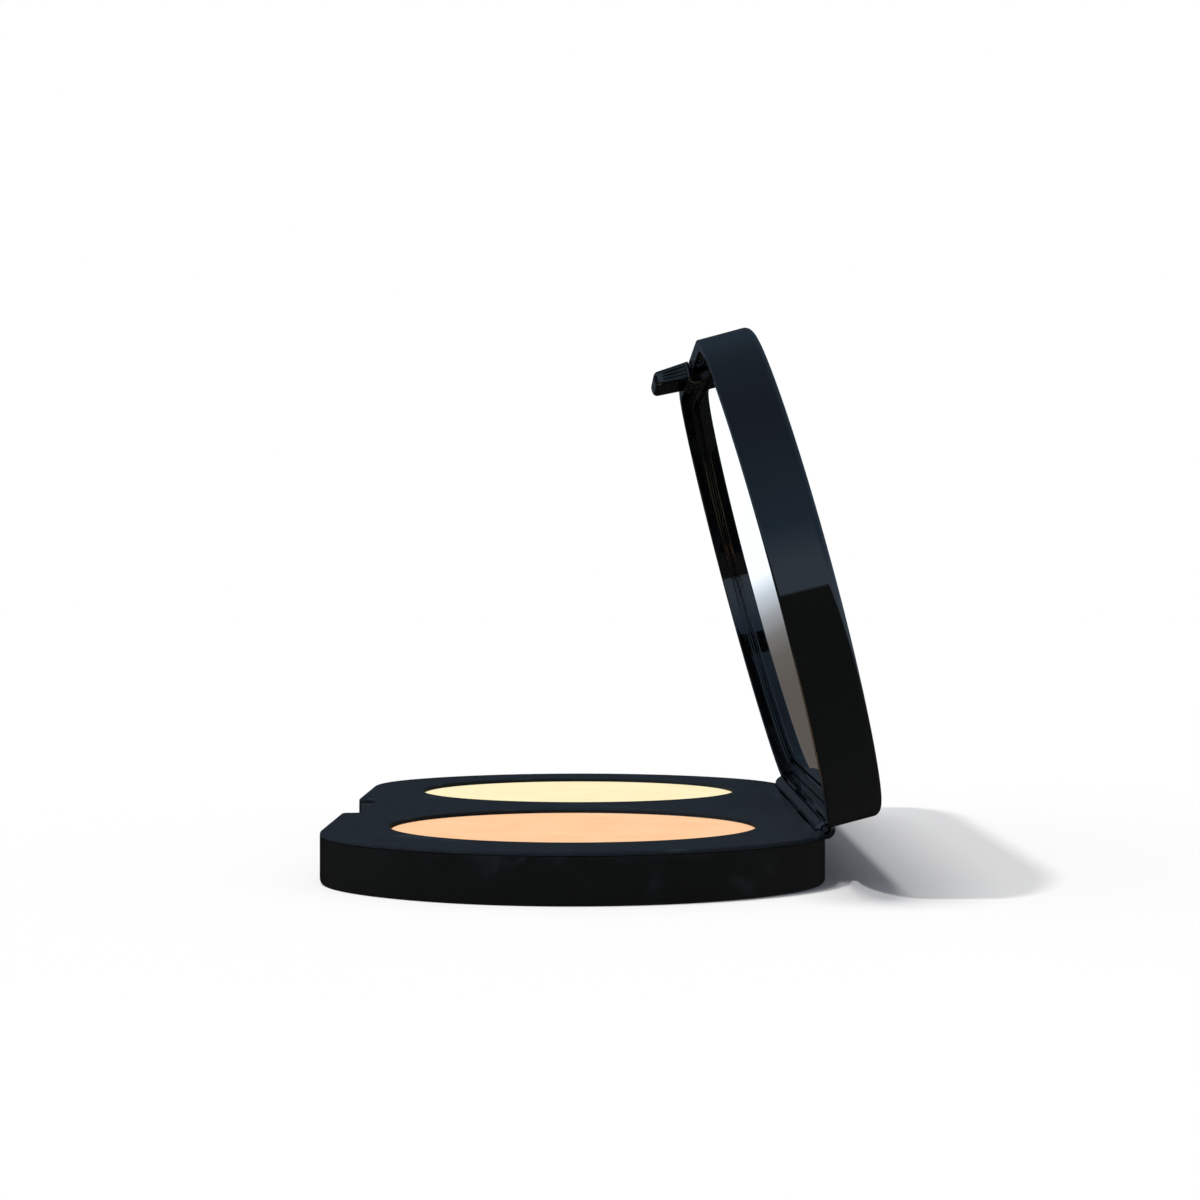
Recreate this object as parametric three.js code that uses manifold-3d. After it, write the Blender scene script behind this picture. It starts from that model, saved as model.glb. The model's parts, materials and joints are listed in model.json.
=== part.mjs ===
// A powder compact with two round wells of pressed powder and a mirror in its lid.
// Millimetres, +Z up. X runs along the hinge, -Y is the front with the latch notch, and the
// origin is the centre of the underside of the base. Everything is drawn shut, and the lid
// group is then turned back about the hinge to its resting angle.

import * as THREE from 'three';
import { mergeVertices } from 'three/addons/utils/BufferGeometryUtils.js';
import Module from 'manifold-3d';

// Plan of the case, drawn around its two pans
const PAN_OPENING_DIAMETER = 37.2;
const PAN_BRIDGE = 9.0;        // deck left between the two openings
const END_BORDER = 8.3;        // deck between an opening and the end of the case
const SIDE_BORDER = 6.4;       // deck between an opening and the front or the back
const SHOULDER_RADIUS = 18.0;  // blends each round end into the straight front and back

// Base
const BASE_HEIGHT = 5.05;
const BASE_FLOOR = 0.9;
const BASE_RIM_WALL = 1.0;     // wall beside the deck's plug
const DECK_LEDGE = 1.0;        // step that the plug rests on, inside the rim wall
const BASE_FOOT_ROUND = 0.4;

// Deck, pans and powder
const DECK_THICKNESS = 1.2;    // of the plug that drops inside the rim wall
const DECK_FLANGE = 0.45;      // thin edge of the deck that covers the rim wall
const DECK_ROUND = 0.3;
const FLANGE_ROUND = 0.05;
const DECK_LIP = 0.4;          // thin edge of the deck over the rim of each pan
const PAN_SEAT = 0.7;          // width of a pan's rim hidden under that lip
const PAN_WALL = 0.4;
const PAN_PAD_THICKNESS = 0.25;
const PAN_PAD_DIAMETER = 24.0;
const PAN_CLEARANCE = 0.15;    // around a pan in its well
const WELL_WALL = 0.8;
const POWDER_CLEARANCE = 0.05;
const POWDER_EDGE = 0.3;
const FIT_GAP = 0.1;           // between two moulded pieces that fit together

// Latch notch in the front of the base, and the tongue of the lid that drops into it
const NOTCH_WIDTH = 18.4;
const NOTCH_DEPTH = 2.15;
const NOTCH_CORNER = 1.0;
const NOTCH_LIP = 0.8;         // round of the two outer corners of the notch
const TONGUE_SIDE_GAP = 1.5;
const TONGUE_LENGTH = 4.1;     // below the rim of the lid
const TONGUE_TIP = 1.45;       // thickness at the tip
const TONGUE_ROOT = 1.95;      // thickness at the rim of the lid
const TONGUE_TAPER = 0.25;     // by which the outer face leans back at the tip
const TONGUE_ROUND = 0.45;
const CATCH_RADIUS = 0.15;
const CATCH_LENGTH = 12.0;
const CATCH_HEIGHT = 3.3;      // centre of the ridge in the notch, above the underside
const BEAD_DROP = 0.7;         // the tongue's bead lies this far under the ridge

// Lid
const SEAM_GAP = 0.25;         // between the deck and the rim of the shut lid
const LID_HEIGHT = 5.55;
const LID_WALL = 1.2;
const LID_SKIN = 0.8;          // back of the lid over the hollow
const LID_SEAT = 2.45;         // back of the lid under the mirror's edge
const LID_BACK_ROUND = 0.8;
const LID_RIM_ROUND = 0.3;
const LAYER_GAP = 0.1;         // between the layers behind the mirror
const TAPE_THICKNESS = 0.15;
const TAPE_INSET = 0.5;        // from the edge of the mirror
const TAPE_WIDTH = 3.0;
const HOLLOW_MARGIN = 0.5;     // from the tape to the hollow behind the mirror
const MIRROR_THICKNESS = 1.0;
const MIRROR_CLEARANCE = 0.3;
const BEZEL_DROP = 1.2;        // from the rim of the lid down to the bezel
const BEZEL_WIDTH = 1.2;

// Hinge
const BARREL_LENGTH = 60.0;
const BARREL_RADIUS = 1.0;
const END_KNUCKLE = 9.0;
const MIDDLE_KNUCKLE = 16.0;
const KNUCKLE_GAP = 0.3;
const KNUCKLE_RELIEF = 0.2;    // around a knuckle, in the piece that turns past it
const LAND_MARGIN = 0.5;       // of the raised hinge land past each end of the barrel
const PIN_RADIUS = 0.4;
const PIN_CLEARANCE = 0.1;
const PIN_RECESS = 0.3;        // of each pin's outer end
const PIN_GRIP = 4.0;          // length of each pin inside the middle knuckle
const REST_OPENING = THREE.MathUtils.degToRad(75.0);

// Facets
const ARC_STEPS = 7;
const EDGE_STEPS = 3;
const ROUND_FACETS = 48;
const HINGE_FACETS = 16;
const OVERSHOOT = 3.0;         // by which a cutter passes the faces that it cuts

// Derived places
const HALF_WIDTH = PAN_OPENING_DIAMETER / 2 + SIDE_BORDER;
const END_RADIUS = PAN_OPENING_DIAMETER / 2 + END_BORDER;
const PAN_X = PAN_OPENING_DIAMETER / 2 + PAN_BRIDGE / 2;
const PAN_RADIUS = PAN_OPENING_DIAMETER / 2 + PAN_SEAT;
const SHOULDER_Y = HALF_WIDTH - SHOULDER_RADIUS;
const SHOULDER_X = PAN_X + Math.sqrt((END_RADIUS - SHOULDER_RADIUS) ** 2 - SHOULDER_Y ** 2);
const ARC_MEETING = Math.atan2(SHOULDER_Y, SHOULDER_X - PAN_X);
const DECK_UNDERSIDE = BASE_HEIGHT - DECK_THICKNESS;
const RIM_WALL_TOP = BASE_HEIGHT - DECK_FLANGE - FIT_GAP / 2;
const LAND_END = BARREL_LENGTH / 2 + LAND_MARGIN;
const LAND_FRONT = HALF_WIDTH - BASE_RIM_WALL;
const PAN_FLOOR = BASE_FLOOR + PAN_PAD_THICKNESS;
const PAN_RIM = BASE_HEIGHT - DECK_LIP - POWDER_CLEARANCE;
const HINGE_Y = HALF_WIDTH;
const HINGE_Z = BASE_HEIGHT + SEAM_GAP / 2;
const LID_RIM = BASE_HEIGHT + SEAM_GAP;
const LID_TOP = LID_RIM + LID_HEIGHT;
const TAPE_TOP = LID_TOP - LID_SEAT - LAYER_GAP;
const MIRROR_TOP = TAPE_TOP - TAPE_THICKNESS - LAYER_GAP;
const MIRROR_FACE = MIRROR_TOP - MIRROR_THICKNESS;
const TAPE_EDGE = LID_WALL + MIRROR_CLEARANCE + TAPE_INSET;
const HOLLOW_INSET = TAPE_EDGE + TAPE_WIDTH + HOLLOW_MARGIN;
const BEZEL_INSET = LID_WALL + FIT_GAP;
const TONGUE_WIDTH = NOTCH_WIDTH - 2 * TONGUE_SIDE_GAP;

const wasm = await Module();
wasm.setup();

// A closed three.js geometry as a solid that can be joined and cut
function solid(geometry) {
  const bare = geometry.index ? geometry : geometry.clone();
  bare.deleteAttribute('normal');
  bare.deleteAttribute('uv');
  const merged = mergeVertices(bare, 1e-4);
  return new wasm.Manifold(new wasm.Mesh({
    numProp: 3,
    vertProperties: new Float32Array(merged.attributes.position.array),
    triVerts: new Uint32Array(merged.index.array),
  }));
}

// A finished solid as a named mesh
function piece(name, body, material) {
  const mesh = body.getMesh();
  const geometry = new THREE.BufferGeometry();
  geometry.setAttribute('position', new THREE.BufferAttribute(mesh.vertProperties, 3));
  geometry.setIndex(new THREE.BufferAttribute(mesh.triVerts, 1));
  geometry.computeVertexNormals();
  const node = new THREE.Mesh(geometry, material);
  node.name = name;
  return node;
}

// Plan outline of the case, moved inwards by inset: two end arcs, four shoulder arcs and the
// straight front and back between them
function caseOutline(inset) {
  const shoulder = SHOULDER_RADIUS - inset;
  const outline = new THREE.Shape();
  outline.absarc(SHOULDER_X, -SHOULDER_Y, shoulder, -Math.PI / 2, -ARC_MEETING);
  outline.absarc(PAN_X, 0, END_RADIUS - inset, -ARC_MEETING, ARC_MEETING);
  outline.absarc(SHOULDER_X, SHOULDER_Y, shoulder, ARC_MEETING, Math.PI / 2);
  outline.absarc(-SHOULDER_X, SHOULDER_Y, shoulder, Math.PI / 2, Math.PI - ARC_MEETING);
  outline.absarc(-PAN_X, 0, END_RADIUS - inset, Math.PI - ARC_MEETING, Math.PI + ARC_MEETING);
  outline.absarc(-SHOULDER_X, -SHOULDER_Y, shoulder, Math.PI + ARC_MEETING, Math.PI * 1.5);
  outline.closePath();
  return outline;
}

// Plan of the latch notch, grown by margin into the case
function notchOutline(margin) {
  const side = NOTCH_WIDTH / 2 + margin;
  const back = -HALF_WIDTH + NOTCH_DEPTH + margin;
  const corner = NOTCH_CORNER + margin;
  const lip = Math.max(NOTCH_LIP - margin, 0);
  const outline = new THREE.Shape();
  outline.moveTo(-side - lip, -HALF_WIDTH - OVERSHOOT);
  outline.lineTo(side + lip, -HALF_WIDTH - OVERSHOOT);
  outline.lineTo(side + lip, -HALF_WIDTH);
  if (lip > 0) outline.absarc(side + lip, -HALF_WIDTH + lip, lip, -Math.PI / 2, -Math.PI, true);
  outline.absarc(side - corner, back - corner, corner, 0, Math.PI / 2);
  outline.absarc(-side + corner, back - corner, corner, Math.PI / 2, Math.PI);
  if (lip > 0) outline.absarc(-side - lip, -HALF_WIDTH + lip, lip, 0, -Math.PI / 2, true);
  outline.closePath();
  return outline;
}

function prism(outline, bottom, top) {
  const shape = new THREE.ExtrudeGeometry(outline, {
    depth: top - bottom,
    bevelEnabled: false,
    curveSegments: ARC_STEPS,
  });
  return solid(shape.translate(0, 0, bottom));
}

// A prism whose bottom and top edges are both rounded by the same radius
function roundedPrism(outline, bottom, top, round) {
  const shape = new THREE.ExtrudeGeometry(outline, {
    depth: top - bottom - 2 * round,
    bevelEnabled: true,
    bevelThickness: round,
    bevelSize: round,
    bevelOffset: -round,
    bevelSegments: EDGE_STEPS,
    curveSegments: ARC_STEPS,
  });
  return solid(shape.translate(0, 0, bottom + round));
}

// The case's plan as a slab with its own round along the bottom and along the top edge
function caseSlab(bottom, top, bottomRound, topRound) {
  const below = roundedPrism(caseOutline(0), bottom, top + OVERSHOOT, bottomRound);
  const above = roundedPrism(caseOutline(0), bottom - OVERSHOOT, top, topRound);
  return below.intersect(above);
}

function box(x0, x1, y0, y1, z0, z1) {
  const shape = new THREE.BoxGeometry(x1 - x0, y1 - y0, z1 - z0);
  return solid(shape.translate((x0 + x1) / 2, (y0 + y1) / 2, (z0 + z1) / 2));
}

// A cylinder along X from x0 to x1
function rod(radius, x0, x1, y, z, facets) {
  const shape = new THREE.CylinderGeometry(radius, radius, x1 - x0, facets);
  return solid(shape.rotateZ(Math.PI / 2).translate((x0 + x1) / 2, y, z));
}

// A solid turned about a vertical axis at x, from a closed profile of [radius, height] points
function turned(profile, x) {
  const points = profile.map(([radius, height]) => new THREE.Vector2(radius, height));
  const shape = new THREE.LatheGeometry(points, ROUND_FACETS);
  return solid(shape.rotateX(Math.PI / 2).translate(x, 0, 0));
}

function disc(radius, bottom, top, x) {
  return turned([[0, bottom], [radius, bottom], [radius, top], [0, top]], x);
}

// Knuckles as [from, to] stretches along the barrel
const middleEnd = MIDDLE_KNUCKLE / 2;
const barrelEnd = BARREL_LENGTH / 2;
const lidKnuckle = [middleEnd + KNUCKLE_GAP, barrelEnd - END_KNUCKLE - KNUCKLE_GAP];
const baseKnuckles = [
  [-barrelEnd, -barrelEnd + END_KNUCKLE],
  [-middleEnd, middleEnd],
  [barrelEnd - END_KNUCKLE, barrelEnd],
];
const lidKnuckles = [[-lidKnuckle[1], -lidKnuckle[0]], lidKnuckle];

// Adds a shell's own knuckles, clears the other shell's, and bores the barrel for the pins
function withKnuckles(shell, own, other) {
  let body = shell;
  for (const [from, to] of other) {
    body = body.subtract(knuckleRelief(from, to));
  }
  for (const [from, to] of own) {
    body = body.add(rod(BARREL_RADIUS, from, to, HINGE_Y, HINGE_Z, HINGE_FACETS));
  }
  const bore = PIN_RADIUS + PIN_CLEARANCE;
  const reach = barrelEnd + OVERSHOOT;
  return body.subtract(rod(bore, -reach, reach, HINGE_Y, HINGE_Z, HINGE_FACETS));
}

function knuckleRelief(from, to) {
  const radius = BARREL_RADIUS + KNUCKLE_RELIEF;
  return rod(radius, from - KNUCKLE_GAP, to + KNUCKLE_GAP, HINGE_Y, HINGE_Z, HINGE_FACETS);
}

// Tub of the base: floor, ledged wall, wells around the pans, latch notch with its catch ridge,
// and a raised land along the back that carries the hinge knuckles
function baseShell() {
  const ledgeWall = BASE_RIM_WALL + DECK_LEDGE;
  const lowerRoom = prism(caseOutline(ledgeWall), BASE_FLOOR, BASE_HEIGHT)
    .subtract(prism(notchOutline(ledgeWall), 0, BASE_HEIGHT));
  const upperRoom = prism(caseOutline(BASE_RIM_WALL), DECK_UNDERSIDE, BASE_HEIGHT + OVERSHOOT)
    .subtract(prism(notchOutline(BASE_RIM_WALL), 0, BASE_HEIGHT + 2 * OVERSHOOT));
  const behindLand = box(-LAND_END, LAND_END, LAND_FRONT, HALF_WIDTH + OVERSHOOT, 0, BASE_HEIGHT);
  const aboveWall = prism(caseOutline(-OVERSHOOT), RIM_WALL_TOP, BASE_HEIGHT + OVERSHOOT)
    .subtract(behindLand);
  let shell = caseSlab(0, BASE_HEIGHT, BASE_FOOT_ROUND, DECK_ROUND)
    .subtract(prism(notchOutline(0), -OVERSHOOT, BASE_HEIGHT + OVERSHOOT))
    .subtract(lowerRoom)
    .subtract(upperRoom)
    .subtract(aboveWall);
  const wellRadius = PAN_RADIUS + PAN_CLEARANCE;
  const wellTop = DECK_UNDERSIDE - FIT_GAP;
  for (const side of [-1, 1]) {
    const ring = disc(wellRadius + WELL_WALL, BASE_FLOOR / 2, wellTop, side * PAN_X)
      .subtract(disc(wellRadius, BASE_FLOOR, BASE_HEIGHT, side * PAN_X));
    shell = shell.add(ring);
  }
  const catchY = -HALF_WIDTH + NOTCH_DEPTH;
  const ridge = rod(CATCH_RADIUS, -CATCH_LENGTH / 2, CATCH_LENGTH / 2, catchY, CATCH_HEIGHT,
    HINGE_FACETS);
  return withKnuckles(shell.add(ridge), baseKnuckles, lidKnuckles);
}

// Deck that closes the base: a flange over the rim wall, a plug inside it, and a thin lip over
// the rim of each pan
function baseDeck() {
  const margin = BASE_RIM_WALL + FIT_GAP;
  const flange = caseSlab(BASE_HEIGHT - DECK_FLANGE, BASE_HEIGHT, FLANGE_ROUND, DECK_ROUND)
    .subtract(prism(notchOutline(0), 0, BASE_HEIGHT + OVERSHOOT));
  const plug = prism(caseOutline(margin), DECK_UNDERSIDE, BASE_HEIGHT)
    .subtract(prism(notchOutline(margin), 0, BASE_HEIGHT + OVERSHOOT));
  const landEnd = LAND_END + FIT_GAP;
  const landFront = LAND_FRONT - FIT_GAP;
  let deck = flange.add(plug)
    .subtract(box(-landEnd, landEnd, landFront, HALF_WIDTH + OVERSHOOT, 0, LID_TOP));
  for (const side of [-1, 1]) {
    const opening = disc(PAN_OPENING_DIAMETER / 2, 0, BASE_HEIGHT + OVERSHOOT, side * PAN_X);
    const seat = disc(PAN_RADIUS + PAN_CLEARANCE, 0, BASE_HEIGHT - DECK_LIP, side * PAN_X);
    deck = deck.subtract(opening).subtract(seat);
  }
  for (const [from, to] of lidKnuckles) {
    deck = deck.subtract(knuckleRelief(from, to));
  }
  for (const [from, to] of baseKnuckles) {
    deck = deck.subtract(rod(BARREL_RADIUS + FIT_GAP, from, to, HINGE_Y, HINGE_Z, HINGE_FACETS));
  }
  return deck;
}

// Thin round tray for one cake of powder
function pan(x) {
  const inner = PAN_RADIUS - PAN_WALL;
  return disc(PAN_RADIUS, PAN_FLOOR, PAN_RIM, x)
    .subtract(disc(inner, PAN_FLOOR + PAN_WALL, PAN_RIM + OVERSHOOT, x));
}

// Pressed cake with a small chamfer around its top
function powderCake(x) {
  const radius = PAN_RADIUS - PAN_WALL - POWDER_CLEARANCE;
  const bottom = PAN_FLOOR + PAN_WALL + POWDER_CLEARANCE;
  return turned([
    [0, bottom],
    [radius, bottom],
    [radius, PAN_RIM - POWDER_EDGE / 2],
    [radius - POWDER_EDGE, PAN_RIM],
    [0, PAN_RIM],
  ], x);
}

// Adhesive disc between a pan and the floor of its well
function panPad(x) {
  return disc(PAN_PAD_DIAMETER / 2, BASE_FLOOR, PAN_FLOOR, x);
}

function hingePin(side) {
  const inner = middleEnd - PIN_GRIP;
  const outer = barrelEnd - PIN_RECESS;
  const ends = [side * inner, side * outer].sort((a, b) => a - b);
  return rod(PIN_RADIUS, ends[0], ends[1], HINGE_Y, HINGE_Z, HINGE_FACETS);
}

// Tray of the lid, open towards the base, with a ledge for the mirror and a hollow behind it
function lidShell() {
  const tray = caseSlab(LID_RIM, LID_TOP, LID_RIM_ROUND, LID_BACK_ROUND)
    .subtract(prism(caseOutline(LID_WALL), LID_RIM - OVERSHOOT, LID_TOP - LID_SEAT))
    .subtract(prism(caseOutline(HOLLOW_INSET), LID_RIM, LID_TOP - LID_SKIN));
  return withKnuckles(tray, lidKnuckles, baseKnuckles);
}

// Frame that holds the mirror's edge, split at the front for the tongue's anchor
function lidBezel() {
  const top = MIRROR_FACE - LAYER_GAP;
  const bottom = LID_RIM + BEZEL_DROP;
  const anchor = TONGUE_WIDTH / 2 + FIT_GAP;
  const frame = prism(caseOutline(BEZEL_INSET), bottom, top)
    .subtract(prism(caseOutline(BEZEL_INSET + BEZEL_WIDTH), bottom - OVERSHOOT, top + OVERSHOOT));
  const slotBack = -HALF_WIDTH + BEZEL_INSET + BEZEL_WIDTH + OVERSHOOT;
  return frame.subtract(box(-anchor, anchor, -HALF_WIDTH, slotBack, bottom - OVERSHOOT, LID_TOP));
}

function mirrorPlate() {
  return prism(caseOutline(LID_WALL + MIRROR_CLEARANCE), MIRROR_FACE, MIRROR_TOP);
}

// Ring of tape between the mirror's edge and the ledge
function mirrorTape() {
  const bottom = TAPE_TOP - TAPE_THICKNESS;
  return prism(caseOutline(TAPE_EDGE), bottom, TAPE_TOP)
    .subtract(prism(caseOutline(TAPE_EDGE + TAPE_WIDTH), bottom - OVERSHOOT, LID_TOP));
}

// Latch tongue: flush with the front of the lid, held by an anchor plate behind its wall
function latchTongue() {
  const front = -HALF_WIDTH;
  const tip = LID_RIM - TONGUE_LENGTH;
  const root = LID_RIM - FIT_GAP;
  const wall = front + LID_WALL + FIT_GAP;
  const anchorBack = front + BEZEL_INSET + BEZEL_WIDTH;
  const anchorTop = MIRROR_FACE - LAYER_GAP;
  // Side view, with the depth along the case first and the height second
  const side = new THREE.Shape();
  const tipFront = front + TONGUE_TAPER;
  side.absarc(tipFront + TONGUE_ROUND, tip + TONGUE_ROUND, TONGUE_ROUND, Math.PI, Math.PI * 1.5);
  side.absarc(tipFront + TONGUE_TIP - TONGUE_ROUND, tip + TONGUE_ROUND, TONGUE_ROUND,
    Math.PI * 1.5, Math.PI * 2);
  side.lineTo(front + TONGUE_ROOT, LID_RIM);
  side.lineTo(anchorBack, LID_RIM);
  side.lineTo(anchorBack, anchorTop);
  side.lineTo(wall, anchorTop);
  side.lineTo(wall, root);
  side.lineTo(front, root);
  side.closePath();
  const length = new THREE.ExtrudeGeometry(side, {
    depth: TONGUE_WIDTH,
    bevelEnabled: false,
    curveSegments: EDGE_STEPS,
  });
  const upright = new THREE.Matrix4().makeBasis(
    new THREE.Vector3(0, 1, 0), new THREE.Vector3(0, 0, 1), new THREE.Vector3(1, 0, 0));
  const body = solid(length.applyMatrix4(upright).translate(-TONGUE_WIDTH / 2, 0, 0));
  const beadHeight = CATCH_HEIGHT - BEAD_DROP;
  const rise = (beadHeight - tip) / TONGUE_LENGTH;
  const beadY = tipFront + TONGUE_TIP + (TONGUE_ROOT - TONGUE_TAPER - TONGUE_TIP) * rise;
  return body.add(rod(CATCH_RADIUS, -CATCH_LENGTH / 2, CATCH_LENGTH / 2, beadY, beadHeight,
    HINGE_FACETS));
}

function material(color, roughness, metalness) {
  return new THREE.MeshStandardMaterial({ color, roughness, metalness });
}

const shellPlastic = material(0x0a0c10, 0.15, 0.0);
const deckPlastic = material(0x14191f, 0.45, 0.0);
const aluminium = material(0xb9bcc0, 0.35, 1.0);
const steel = material(0x8d9296, 0.3, 1.0);
const silvering = material(0xe8ecee, 0.03, 1.0);
const adhesive = material(0xd9d6cc, 0.8, 0.0);
const powders = {
  peach: material(0xf9c79d, 0.9, 0.0),
  ivory: material(0xfbeec4, 0.9, 0.0),
};

const base = new THREE.Group();
base.add(piece('base_shell', baseShell(), shellPlastic));
base.add(piece('base_deck', baseDeck(), deckPlastic));
for (const [shade, side] of [['peach', 1], ['ivory', -1]]) {
  const x = side * PAN_X;
  base.add(piece(`${shade}_pan_pad`, panPad(x), adhesive));
  base.add(piece(`${shade}_pan`, pan(x), aluminium));
  base.add(piece(`${shade}_powder`, powderCake(x), powders[shade]));
}
base.add(piece('hinge_pin_left', hingePin(-1), steel));
base.add(piece('hinge_pin_right', hingePin(1), steel));

// The lid is drawn in the place that it has when shut, then turned about the hinge line
const lidAsShut = new THREE.Group();
lidAsShut.position.set(0, -HINGE_Y, -HINGE_Z);
lidAsShut.add(piece('lid_shell', lidShell(), shellPlastic));
lidAsShut.add(piece('lid_bezel', lidBezel(), shellPlastic));
lidAsShut.add(piece('mirror', mirrorPlate(), silvering));
lidAsShut.add(piece('mirror_tape', mirrorTape(), adhesive));
lidAsShut.add(piece('latch_tongue', latchTongue(), shellPlastic));

const lid = new THREE.Group();
lid.position.set(0, HINGE_Y, HINGE_Z);
lid.rotation.x = -REST_OPENING;
lid.add(lidAsShut);

const compact = new THREE.Group();
compact.add(base);
compact.add(lid);

export default compact;
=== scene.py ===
"""Looks of a powder compact with two round wells and a mirror in its lid.

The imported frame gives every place, body and joint. Shapes are drawn in millimetres with the
lid shut, turned to the resting angle with the lid, and written to meshes in metres.
"""
import json
import logging
import math
from dataclasses import dataclass, replace
from enum import Enum
from typing import Callable, Iterable, NamedTuple, Sequence

import bmesh
import bpy
from mathutils import Matrix, Vector, noise


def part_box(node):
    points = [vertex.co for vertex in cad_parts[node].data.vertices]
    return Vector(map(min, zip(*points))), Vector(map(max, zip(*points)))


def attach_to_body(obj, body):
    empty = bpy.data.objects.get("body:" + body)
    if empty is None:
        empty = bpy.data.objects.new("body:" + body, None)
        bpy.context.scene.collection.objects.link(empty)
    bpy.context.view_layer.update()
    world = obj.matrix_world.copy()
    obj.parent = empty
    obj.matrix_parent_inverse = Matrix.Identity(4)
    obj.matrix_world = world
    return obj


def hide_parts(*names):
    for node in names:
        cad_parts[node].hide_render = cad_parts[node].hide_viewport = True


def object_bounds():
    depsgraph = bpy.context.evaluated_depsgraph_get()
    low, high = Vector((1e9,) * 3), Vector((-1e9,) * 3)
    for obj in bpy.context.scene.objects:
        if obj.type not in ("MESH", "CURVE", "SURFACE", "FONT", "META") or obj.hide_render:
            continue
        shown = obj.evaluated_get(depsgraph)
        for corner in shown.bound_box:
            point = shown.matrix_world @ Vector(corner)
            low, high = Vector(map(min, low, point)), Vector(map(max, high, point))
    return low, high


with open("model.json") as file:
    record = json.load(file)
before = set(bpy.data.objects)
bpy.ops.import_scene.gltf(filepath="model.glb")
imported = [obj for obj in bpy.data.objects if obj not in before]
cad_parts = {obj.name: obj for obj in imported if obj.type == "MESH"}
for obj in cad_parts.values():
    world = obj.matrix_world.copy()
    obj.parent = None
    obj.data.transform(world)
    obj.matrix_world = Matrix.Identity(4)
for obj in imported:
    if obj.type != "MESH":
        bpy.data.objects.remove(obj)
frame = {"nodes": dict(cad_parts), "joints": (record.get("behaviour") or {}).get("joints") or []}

CAD_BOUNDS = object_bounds()
MM = 0.001
LOG = logging.getLogger("compact")

Point = tuple[float, float]
Ring = list[Vector]
Colour = tuple[float, float, float]
Stops = tuple[tuple[float, Colour], ...]
Piece = bpy.types.Object
Socket = bpy.types.NodeSocket
Sockets = bpy.types.bpy_prop_collection
Number = Socket | float
Tone = Socket | tuple[float, ...]

CAP_INSET = 3.0  # slabs skinned from the plan are capped here, inside every border
CORNER_STEP = 15  # degrees between the points of a tongue's rounded corner


class Body(Enum):
    """Rigid bodies of the frame."""

    BASE = "base"
    LID = "lid"


class Slot(Enum):
    """Material slots of the record."""

    CASE = "case_gloss"
    DECK = "deck_satin"
    PIN = "pin_metal"
    MIRROR = "mirror_glass"
    PEACH = "powder_peach"
    IVORY = "powder_ivory"


class Cut(Enum):
    """Ways to combine two solids."""

    JOIN = "UNION"
    TAKE = "DIFFERENCE"


# ---------------------------------------------------------------- plan outline and meshes


class Corner(NamedTuple):
    """One corner of a profile: its place across, its height, and its fillet radius."""

    across: float
    height: float
    round: float = 0.0


@dataclass(frozen=True)
class Arc:
    """One round stretch of the plan outline. Straight stretches run between arcs."""

    x: float
    y: float
    radius: float
    start: float
    end: float
    steps: int
    meets_next: bool = False

    def points(self) -> Iterable[Point]:
        """Points along the arc, without its last one where the next arc starts there."""
        for step in range(self.steps + (not self.meets_next)):
            angle = math.radians(self.start + (self.end - self.start) * step / self.steps)
            yield self.x + self.radius * math.cos(angle), self.y + self.radius * math.sin(angle)


@dataclass(frozen=True)
class Notch:
    """Latch notch in the front of the base."""

    width: float = 18.4
    depth: float = 2.15
    corner: float = 1.0
    lip: float = 0.8
    least_lip: float = 0.15


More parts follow.
